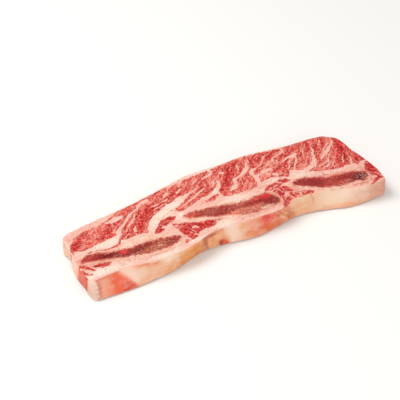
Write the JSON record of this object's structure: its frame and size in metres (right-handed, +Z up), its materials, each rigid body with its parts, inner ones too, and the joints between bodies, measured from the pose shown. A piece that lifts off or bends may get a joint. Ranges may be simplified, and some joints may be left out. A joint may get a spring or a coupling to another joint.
{
  "type": "raw korean-style short ribs",
  "caption": "Flat raw beef short rib slice, sawn across the rib bones, with marbled muscle, seam fat, bone rings and dark marrow running right through it.",
  "frame": {"origin": "middle of the underside's bounding box, on the surface that the slice lies on", "axes": "+X along the slice, +Y from the rib side to the outer side, +Z up through its thickness"},
  "size_m": [0.213, 0.0714, 0.013],
  "materials": {
    "muscle": "moist",
    "fat": "moist",
    "bone": "sawn",
    "marrow": "spongy"
  },
  "bodies": {
    "root": {"muscle": "muscle", "rib_muscle_left_end": "muscle", "rib_muscle_crescent": "muscle", "rib_muscle_left": "muscle", "rib_muscle_strip": "muscle", "rib_muscle_right": "muscle", "rib_muscle_right_end": "muscle", "seam_fat": "fat", "fat_cap": "fat", "bone_left": "bone", "bone_middle": "bone", "bone_right": "bone", "marrow_left": "marrow", "marrow_middle": "marrow", "marrow_right": "marrow"}
  },
  "joints": []
}
